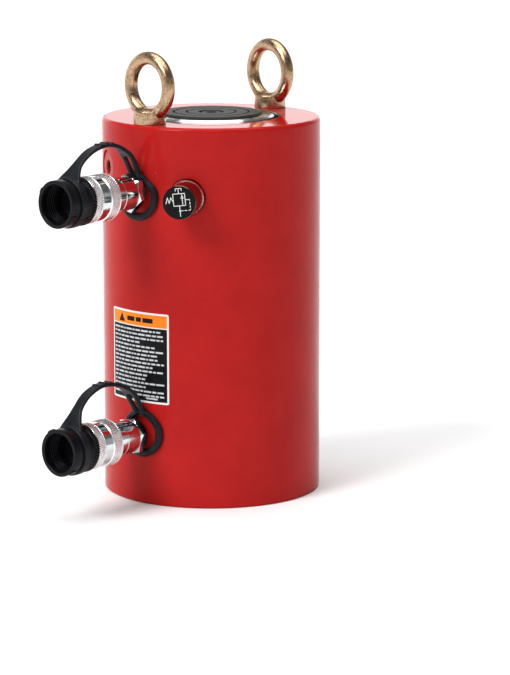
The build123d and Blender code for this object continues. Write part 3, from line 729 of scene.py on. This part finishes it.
def swept_bar(path, width, thick, outward):
    """A round-edged bar along a path, flat against the directions given for its thickness."""
    sections = []
    for i, point in enumerate(path):
        along = (path[min(len(path) - 1, i + 1)] - path[max(0, i - 1)]).normalized()
        across = along.cross(outward[i]).normalized()
        up = across.cross(along)
        sections.append([point + across * a + up * b for a, b in rounded_bar(width, thick)])
    return tube(sections)


def lean(height, side):
    """How far the strap leans sideways at a height, part of the way to its loop's centre."""
    return LEAN_SHARE * LOOP_CENTRES[side][0] * (1 - eased((height - 16) / 26))


def loop_reach(turn, side):
    """The loop's middle radius at a turn in degrees from its top, where the strands pull it to a drop."""
    away = min(1.0, abs(abs(turn) - PINCH_AT) / PINCH_SPAN)
    return LOOP_RADII[side] - LOOP_PINCH[side] * math.cos(away * math.pi / 2) ** 2


def on_skin(x):
    """The distance of the loop's middle from the cylinder's axis, square to the loop's plane."""
    return math.sqrt((BARREL_R + LOOP_LIFT) ** 2 - x * x)


def strand(line, split, side, hand):
    """One strand beside the slot, from the band down to where it flares into the loop."""
    centre_x, centre_y = LOOP_CENTRES[side]
    band = [(y, z) for y, z in line[split - 2:] if y > FORK_Y + centre_y]
    route = [Vector((lean(y, side) + hand * STRAND_X, y, z)) for y, z in band[::3]]
    for turn, extra, lift in FORK_STEPS:
        angle = math.radians(turn)
        reach = loop_reach(turn, side) + extra
        x = centre_x + hand * reach * math.sin(angle)
        route.append(Vector((x, centre_y + reach * math.cos(angle), on_skin(x) + lift)))
    path = smooth_line(route, 6)
    outward = []
    for point in path:
        air = eased((point[1] - centre_y - 14) / 16)
        skin = Vector((-point[0], 0, -BARREL_R)).normalized()
        outward.append((Vector((0, 0.7, -0.7)) * air + skin * (1 - air)).normalized())
    return swept_bar(path, STRAND_W, STRAP_T, outward)


def strap_band(line, side):
    """The arched band up to its slot, then the two strands."""
    last = len(line) - 1
    split = max(i for i, (y, z) in enumerate(line) if y > SLOT_TOPS[side])
    slot_share = split / last
    apex = max(range(len(line)), key=lambda i: line[i][0])
    sections = []
    for i in range(split + 2):
        aside = lean(line[i][0], side) if i > apex else 0.0
        section = band_section(line, i, strap_width(i / last, slot_share), 1 - eased(i / last / 0.2))
        sections.append([(x + aside, y, z) for x, y, z in section])
    return joined(tube(sections), strand(line, split, side, -1), strand(line, split, side, 1))


def strap_loop(side):
    """The loop round the nipple, bent to lie on the barrel."""
    sections = []
    width, thick = LOOP_BAR
    centre_x, centre_y = LOOP_CENTRES[side]
    steps = 72
    for k in range(steps):
        angle = 2 * math.pi * k / steps
        section = []
        for across, lift in rounded_bar(width, thick):
            radius = loop_reach(math.degrees(angle) - (360 if 2 * k > steps else 0), side) + across
            x = centre_x + radius * math.sin(angle)
            section.append((x, centre_y + radius * math.cos(angle), on_skin(x) + lift))
        sections.append(section)
    return tube(sections, closed=True)


def strap_hold():
    """The ring in the cap's groove."""
    low, high = HOLD_Z - HOLD_HALF, HOLD_Z + HOLD_HALF
    outline = [(HOLD_INNER_R, low), (HOLD_OUTER_R, low), (HOLD_OUTER_R, high), (HOLD_INNER_R, high)]
    return turned(softened(outline, 0.7), 72)


def lock_ribs(line):
    """Small cross ribs at the top of the arch, where the strap's lock sits."""
    apex = max(range(len(line)), key=lambda i: line[i][0])
    parts = []
    for step in RIB_OFFSETS:
        y, z = line[apex + step]
        section = []
        for k in range(9):
            angle = math.pi * 2 * k / 9
            section.append((y + 1.3 + 1.0 * math.cos(angle), z + 1.3 * math.sin(angle)))
        half = STRAP_W / 2 - 0.6
        parts.append(tube([[(x, a, b) for a, b in section] for x in (-half, half)]))
    return joined(*parts)


def cap_strap(side):
    """The whole moulded strap, stretched between the coupler's root and the cap."""
    line = smooth_line(STRAP_ROUTES[side], 9)
    points, faces = joined(strap_hold(), strap_band(line, side), strap_loop(side), lock_ribs(line))
    strap = make_piece(f"{side}_strap_moulded", points, faces, on_side(0, COUPLER_Z[side]),
                       "cylinder", "strap_rubber", STRAP)
    fused(strap, voxel=0.42, rounds=4)
    strap.parent = None  # it follows two bodies, so it rides on neither
    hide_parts(f"{side}_cap_strap")
    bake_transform(strap)


# ---------------------------------------------------------------- eyebolts

def thread(radius, depth, pitch, low, high, segments=32):
    """A screw thread's skin with closed ends, on a solid core."""
    rows_per_turn = 8
    rows = int((high - low) / pitch * rows_per_turn)
    sections = []
    for i in range(rows + 1):
        z = low + (high - low) * i / rows
        section = []
        for s in range(segments):
            turn = s / segments
            phase = (z / pitch - turn) % 1
            ridge = 1 - abs(2 * phase - 1)
            fade = min(1.0, (z - low) / pitch)
            r = radius - depth * (1 - min(1.0, 1.35 * ridge)) - depth * (1 - fade) * 0.8
            section.append((r * math.cos(2 * math.pi * turn), r * math.sin(2 * math.pi * turn), z))
        sections.append(section)
    return tube(sections)


def eye_ring():
    """The forged ring, and the neck that spreads from it into the collar."""
    round_ring = [2 * math.pi * k / 96 for k in range(96)]
    round_bar = [2 * math.pi * j / 20 for j in range(20)]
    round_neck = [2 * math.pi * j / 32 for j in range(32)]
    ring = []
    for angle in round_ring:
        s, c = math.sin(angle), math.cos(angle)
        section = []
        for turn in round_bar:
            r = EYE_RING_R + EYE_BAR_R * math.cos(turn)
            section.append((r * s, EYE_BAR_R * math.sin(turn), EYE_CENTRE - r * c))
        ring.append(section)
    neck = []
    rows = 8
    for k in range(rows + 1):
        spread = 1 - k / rows
        half_x = 8.6 + 2.6 * spread**2
        half_y = 4.4 + 4.6 * spread**2.4
        z = EYE_COLLAR_H - 1.4 + 3.0 * (k / rows)
        neck.append([(half_x * math.cos(turn), half_y * math.sin(turn), z) for turn in round_neck])
    return joined(tube(ring, closed=True), tube(neck))


def eye_collar():
    """The round collar that seats on the barrel's top."""
    h = EYE_COLLAR_H
    outline = [(0.02, 0.0), (EYE_COLLAR_R, 0.0), (EYE_COLLAR_R, h - 0.6), (EYE_COLLAR_R - 0.6, h), (0.02, h)]
    return turned(softened(outline, 0.35), 64)


def eyebolt(name):
    """A lifting eyebolt: forged ring and neck melted together, crisp collar and threaded shank."""
    place = at_eyebolt(*EYE_TURNS[name])
    ring = make_piece(f"{name}_forged", *eye_ring(), place, f"{name}_body", "yellow_zinc", ZINC)
    fused(ring, voxel=0.55, rounds=10)
    shank = thread(EYE_SHANK_R, EYE_THREAD_DEPTH, THREAD_PITCH, -EYE_SHANK_L, 0.5)
    make_piece(f"{name}_collar", *joined(eye_collar(), shank), place, f"{name}_body",
               "yellow_zinc", ZINC, [name], 30)


# ---------------------------------------------------------------- labels

FILM_BASE = 0.05
FILM_STEP = 0.05
WARNING_AZIMUTH = -1.0
WARNING_HALF_W = 29.0
WARNING_HEIGHTS = (77.6, 146.0)
WARNING_HEADER_H = 11.5
WARNING_ROWS = 17
FRONT_AZIMUTH = 186.0
FRONT_HALF_W = 34.0
FRONT_HEIGHTS = (32.0, 249.0)
FRONT_LINE = 2.4


def film_strip(columns, azimuth, layer):
    """A thin curved plate on the barrel from (distance along the skin, low, high) columns."""
    inner = BARREL_R + FILM_BASE + FILM_STEP * layer
    outer = inner + FILM_STEP
    sections = []
    for x, low, high in columns:
        angle = math.radians(azimuth) + x / BARREL_R
        s, c = math.sin(angle), -math.cos(angle)
        sections.append([(inner * s, inner * c, low), (outer * s, outer * c, low),
                         (outer * s, outer * c, high), (inner * s, inner * c, high)])
    return tube(sections)


def panel(left, right, low, high, corner=0.0):
    """Columns of a rectangle, with round corners if asked."""
    steps = max(2, int((right - left) / 2.0))
    xs = [left + (right - left) * k / steps for k in range(steps + 1)]
    if corner:
        round_steps = [corner * (1 - math.cos(math.pi / 2 * k / 5)) for k in range(6)]
        xs = ([left + d for d in round_steps] + [x for x in xs if left + corner < x < right - corner]
              + [right - d for d in reversed(round_steps)])
    columns = []
    for x in xs:
        edge = min(x - left, right - x)
        inset = corner - math.sqrt(max(0.0, corner**2 - (corner - edge) ** 2)) if edge < corner else 0.0
        columns.append((x, low + inset, high - inset))
    return columns


def print_piece(name, strips, azimuth, layer, slot, paint, nodes=()):
    """A film or one colour of print, from lists of columns, in its layer on the barrel."""
    points, faces = joined(*[film_strip(columns, azimuth, layer) for columns in strips])
    make_piece(name, points, faces, ATOM, "cylinder", slot, paint, nodes, 30)


def warning_label():
    """White-edged film with an orange header, a plain triangle and rows of plain bars for small print."""
    azimuth = WARNING_AZIMUTH
    half = WARNING_HALF_W
    low, high = WARNING_HEIGHTS
    edge = 1.5
    header = high - WARNING_HEADER_H
    chance = random.Random(7)
    print_piece("warning_film", [panel(-half, half, low, high, 1.6)], azimuth, 0, "warning_print",
                FILM_WHITE, ["warning_label"])
    print_piece("warning_header", [panel(-half + edge, half - edge, header + 0.8, high - edge)],
                azimuth, 1, "warning_print", FILM_ORANGE)
    print_piece("warning_panel", [panel(-half + edge, half - edge, low + edge, header)],
                azimuth, 1, "warning_print", FILM_BLACK)
    mid = (header + 0.8 + high - edge) / 2
    triangle = [(-20.0, mid - 3.2, mid - 3.1), (-16.4, mid - 3.2, mid + 3.4), (-12.8, mid - 3.2, mid - 3.1)]
    bars = [panel(x, x + w, mid - 1.7, mid + 1.7, 0.5) for x, w in ((-10.0, 8.0), (-0.6, 5.2), (6.0, 9.5))]
    print_piece("warning_mark", [triangle] + bars, azimuth, 2, "warning_print", FILM_BLACK)
    rows = []
    pitch = 3.05
    for row in range(WARNING_ROWS):
        top = header - 2.0 - pitch * row
        x = -half + edge + 1.4
        limit = half - edge - 1.5 - chance.choice((1, 2, 4, 9, 16, 22))
        while x < limit - 2:
            width = min(chance.uniform(1.6, 7.0), limit - x)
            rows.append(panel(x, x + width, top - 1.3, top, 0.3))
            x += width + 0.9
    rows.append(panel(half - 20, half - 9.5, low + 2.9, low + 4.1, 0.3))
    print_piece("warning_lines", rows, azimuth, 2, "warning_print", INK_GREY)


def outline_box(left, right, low, high, line):
    """The four bars of a drawn rectangle."""
    return [panel(left, right, high - line, high), panel(left, right, low, low + line),
            panel(left, left + line, low + line, high - line),
            panel(right - line, right, low + line, high - line)]


def front_label():
    """Black film with the plain drawing symbol of a double-acting cylinder and three broad stripes."""
    azimuth = FRONT_AZIMUTH
    film = panel(-FRONT_HALF_W, FRONT_HALF_W, *FRONT_HEIGHTS, 2.0)
    print_piece("front_film", [film], azimuth, 0, "front_print", FILM_BLACK, ["front_label"])
    line = FRONT_LINE
    box, rod, port = 15, 3.2, 25
    rod_foot, rod_top = 164.0, 230.0
    marks = outline_box(-box, box, 128.0, 214.0, line)
    marks += [panel(-box, box, z, z + line) for z in (156.0, 162.0)]
    marks += [panel(x, x + line, rod_foot, rod_top) for x in (-rod, rod - line)]
    marks += [panel(-rod, rod, rod_top, rod_top + line)]
    marks += [panel(-port, -box, z, z + line) for z in (136.0, 203.0)]
    print_piece("front_symbol", marks, azimuth, 1, "front_print", FILM_WHITE)
    stripe = 26
    stripes = [panel(-stripe, stripe, z, z + 9, 0.8) for z in (50.0, 66.0, 82.0)]
    print_piece("front_stripes", stripes, azimuth, 1, "front_print", FILM_WHITE)
    print_piece("front_red_bar", [panel(-stripe, stripe, 100.0, 104.0, 0.8)], azimuth, 1, "front_print", RED)


# ---------------------------------------------------------------- relief valve

SYMBOL_TURN = math.radians(6.5)
SYMBOL_LINE = 0.52
SYMBOL_SCALE = 0.95
SYMBOL_SHIFT = (0.5, 0.4, 0.0)
SYMBOL_LAYER = (RELIEF_FACE - 0.02, RELIEF_FACE + 0.05)
# the flange's sloping edge, as (radius, distance from the cylinder's axis)
FLANGE_EDGE = ((12.3, 85.2), (13.04, 85.45), (12.44, 86.96), (12.0, 86.6))


def stroke(start, end, width, low, high):
    """A flat bar between two points, as a drawn line."""
    a, b = Vector(start), Vector(end)
    along = (b - a).normalized() * width / 2
    side = Vector((-along[1], along[0]))
    a, b = a - along, b + along
    corners = [a - side, b - side, b + side, a + side]
    points = [(p[0], p[1], z) for z in (low, high) for p in corners]
    faces = [(3, 2, 1, 0), (4, 5, 6, 7), (0, 1, 5, 4), (1, 2, 6, 5), (2, 3, 7, 6), (3, 0, 4, 7)]
    return points, faces


def relief_edge():
    """The sloping edge of the valve's flange, in the lit copy of the plate as a painted highlight."""
    make_piece("relief_edge", *turned(FLANGE_EDGE), on_side(RELIEF_AZIMUTH, RELIEF_Z), "cylinder",
               "plated_valve", EDGE_HIGHLIGHT)


def relief_symbol():
    """The standard drawing symbol of a relief valve in thin white lines."""
    left, right, bottom, top = -4.7, 4.6, -2.7, 6.6
    flow, stem, drain, pilot = 2.4, 0.0, -0.3, 8.0
    tap, line_end = 1.6, -6.6
    vent_foot, vent_top = 8.9, 10.6
    head = 3.6
    lines = [
        ((left, bottom), (right, bottom)), ((right, bottom), (right, top)),
        ((right, top), (left, top)), ((left, top), (left, bottom)),
        ((flow, bottom), (flow, top)), ((stem, top), (stem, top + 3.2)), ((drain, bottom), (drain, -10.8)),
        ((-2.3, vent_foot), (-2.3, vent_top)), ((-2.3, vent_top), (2.4, vent_top)),
        ((2.4, vent_top), (2.4, vent_foot)), ((right, tap), (right + 1.2, tap)),
        ((right + 2.1, tap), (pilot, tap)), ((pilot, tap), (pilot, 0.9)), ((pilot, -0.5), (pilot, -1.9)),
        ((pilot, -3.3), (pilot, -4.5)), ((pilot, -5.8), (pilot - 0.3, line_end)),
        ((pilot - 0.3, line_end), (6.6, line_end)), ((5.1, line_end), (3.4, line_end)),
        ((2.0, line_end), (drain, line_end)),
    ]
    for step in (-0.4, 0.0, 0.4):
        dot = line_end - 0.1 + step
        lines.append(((drain - 0.35, dot), (drain + 0.35, dot)))
    for share in range(4):
        width = 0.15 + 0.22 * share
        height = top - 1.4 - head / 5 * share
        lines.append(((flow - width, height), (flow + width, height)))
    zigzag = [(-10.7, -0.3), (-9.1, 4.2), (-8.1, -0.4), (-6.5, 4.1), (left, 0.0)]
    lines += list(zip(zigzag, zigzag[1:]))
    points, faces = joined(*[stroke(a, b, SYMBOL_LINE, *SYMBOL_LAYER) for a, b in lines])
    place = on_side(RELIEF_AZIMUTH, RELIEF_Z) @ Matrix.Translation(SYMBOL_SHIFT)
    place = place @ Matrix.Rotation(SYMBOL_TURN, 4, "Z")
    place = place @ Matrix.Diagonal((SYMBOL_SCALE, SYMBOL_SCALE, 1, 1))
    make_piece("relief_symbol", points, faces, place, "cylinder", "black_disc", FILM_WHITE)


# ---------------------------------------------------------------- side holes and mouth

HOLE_THREAD_START = 80.2
HOLE_THREAD_TURNS = 9
HOLE_CREST_R = 4.72
HOLE_ROOT_R = 5.08
MOUTH_R = 51.45
MOUTH_FLOOR = 279.1
MOUTH_CHAMFER = 284.2
MOUTH_CHAMFER_W = 0.75
MOUTH_TOP = 284.97
MOUTH_WALL = 0.45


def side_hole_threads():
    """Thread ridges that show inside the two empty side holes."""
    segments = 40
    sections = []
    for i in range(HOLE_THREAD_TURNS * segments + 1):
        angle = 2 * math.pi * i / segments
        z = HOLE_THREAD_START - THREAD_PITCH * i / segments
        c, s = math.cos(angle), math.sin(angle)
        sections.append([(HOLE_ROOT_R * c, HOLE_ROOT_R * s, z - 0.7), (HOLE_CREST_R * c, HOLE_CREST_R * s, z),
                         (HOLE_ROOT_R * c, HOLE_ROOT_R * s, z + 0.7)])
    points, faces = tube(sections)
    for name, azimuth in zip(("left", "right"), SIDE_HOLE_AZIMUTHS):
        make_piece(f"{name}_hole_thread", points, faces, on_side(azimuth, SIDE_HOLE_Z), "cylinder",
                   "red_paint", OXIDE, crease=20)


def mouth_wall():
    """The bare, oiled wall of the recess round the rod, up to the outer edge of its chamfer."""
    edge = MOUTH_R + MOUTH_CHAMFER_W
    outline = [(MOUTH_R - MOUTH_WALL, MOUTH_FLOOR), (MOUTH_R, MOUTH_FLOOR), (MOUTH_R, MOUTH_CHAMFER),
               (edge, MOUTH_TOP), (edge - 0.3, MOUTH_TOP), (MOUTH_R - MOUTH_WALL, MOUTH_CHAMFER - 0.2)]
    make_piece("mouth_wall", *turned(outline), ATOM, "cylinder", "machined_steel", OILED)


# ---------------------------------------------------------------- camera, light and floor

CAMERA_AZIMUTH = 41.8
CAMERA_DISTANCE = 2.322
CAMERA_HEIGHT = 0.565
CAMERA_PITCH = 10.99
CAMERA_ASIDE = 0.815
CAMERA_LENS = 164.8
BACKDROP_TURN = 200.0
BACKDROP_LEVEL = 1.5
FLOOR_HALF = 30.0
FLOOR_DROP = 0.2


def camera():
    """A long lens from the right of the couplers, a little above the top."""
    azimuth = math.radians(CAMERA_AZIMUTH)
    data = bpy.data.cameras.new("camera")
    data.lens = CAMERA_LENS
    data.sensor_width = 36.0
    data.clip_end = 100
    eye = bpy.data.objects.new("camera", data)
    eye.location = (CAMERA_DISTANCE * math.sin(azimuth), -CAMERA_DISTANCE * math.cos(azimuth), CAMERA_HEIGHT)
    eye.rotation_euler = (math.radians(90 - CAMERA_PITCH), 0, azimuth - math.radians(CAMERA_ASIDE))
    bpy.context.scene.collection.objects.link(eye)
    bpy.context.scene.camera = eye


def world_ramp(tree, value, levels):
    """A grey ramp over a value, from (place, level) pairs."""
    made = tree.nodes.new("ShaderNodeValToRGB")
    elements = made.color_ramp.elements
    while len(elements) < len(levels):
        elements.new(0.5)
    for element, (place, level) in zip(elements, levels):
        element.position = place
        element.color = (level, level, level, 1)
    tree.links.new(value, made.inputs["Fac"])
    return made.outputs["Color"]


def surround():
    """A dim room with a bright backdrop behind the object, low down and to its left."""
    world = bpy.data.worlds.new("studio")
    bpy.context.scene.world = world
    world.use_nodes = True
    tree = world.node_tree
    background = tree.nodes["Background"]
    away = math.radians(CAMERA_AZIMUTH + BACKDROP_TURN)
    coords = tree.nodes.new("ShaderNodeTexCoord")
    facing = tree.nodes.new("ShaderNodeVectorMath")
    facing.operation = "DOT_PRODUCT"
    facing.inputs[1].default_value = (math.sin(away), -math.cos(away), 0)
    tree.links.new(coords.outputs["Generated"], facing.inputs[0])
    curve = tree.nodes.new("ShaderNodeMapRange")
    curve.inputs["From Min"].default_value = -1
    tree.links.new(facing.outputs["Value"], curve.inputs["Value"])
    split = tree.nodes.new("ShaderNodeSeparateXYZ")
    tree.links.new(coords.outputs["Generated"], split.inputs[0])
    levels = ((0.5, 0.28), (0.70, 0.30), (0.80, 0.6), (0.88, 1))
    round_about = world_ramp(tree, curve.outputs["Result"], levels)
    upward = world_ramp(tree, split.outputs["Z"], ((0, 1), (0.30, 1), (0.42, 0.3), (1, 0.4)))
    both = tree.nodes.new("ShaderNodeVectorMath")
    both.operation = "MULTIPLY"
    tree.links.new(round_about, both.inputs[0])
    tree.links.new(upward, both.inputs[1])
    tree.links.new(both.outputs["Vector"], background.inputs["Color"])
    background.inputs["Strength"].default_value = BACKDROP_LEVEL


def sky_light(name, azimuth, elevation, strength, spread):
    """A wide soft light from far away, the same on the whole floor."""
    data = bpy.data.lights.new(name, "SUN")
    data.energy = strength
    data.angle = math.radians(spread)
    lamp = bpy.data.objects.new(name, data)
    lamp.rotation_euler = (math.radians(90 - elevation), 0, math.radians(azimuth))
    bpy.context.scene.collection.objects.link(lamp)


def studio():
    """A white floor, a dim room with a bright backdrop, and soft lights from above and the upper left."""
    bpy.context.scene.view_settings.view_transform = "Standard"
    surround()
    sky_light("overhead", 0, 90, 2.4, 60)
    sky_light("key", CAMERA_AZIMUTH - 48, 42, 2.3, 26)
    half = FLOOR_HALF
    mesh = bpy.data.meshes.new("floor")
    mesh.from_pydata([(-half, -half, 0), (half, -half, 0), (half, half, 0), (-half, half, 0)], [],
                     [(0, 1, 2, 3)])
    floor = bpy.data.objects.new("floor", mesh)
    floor.location.z = -FLOOR_DROP * MM
    f = Finish("floor_white", (0.90, 0.90, 0.90), 0.6)
    f.colour(f.ramp(f.noise(400, 2), 0.3, 0.7, (0.89, 0.89, 0.89), (0.91, 0.91, 0.91)))
    mesh.materials.append(f.material)
    bpy.context.scene.collection.objects.link(floor)


# ---------------------------------------------------------------- the scene

camera()
studio()
dress_cad_nodes()
for side in COUPLER_Z:
    coupler_collar(side)
    dust_cap(side)
    cap_strap(side)
for name in EYE_TURNS:
    eyebolt(name)
warning_label()
front_label()
relief_edge()
relief_symbol()
side_hole_threads()
mouth_wall()
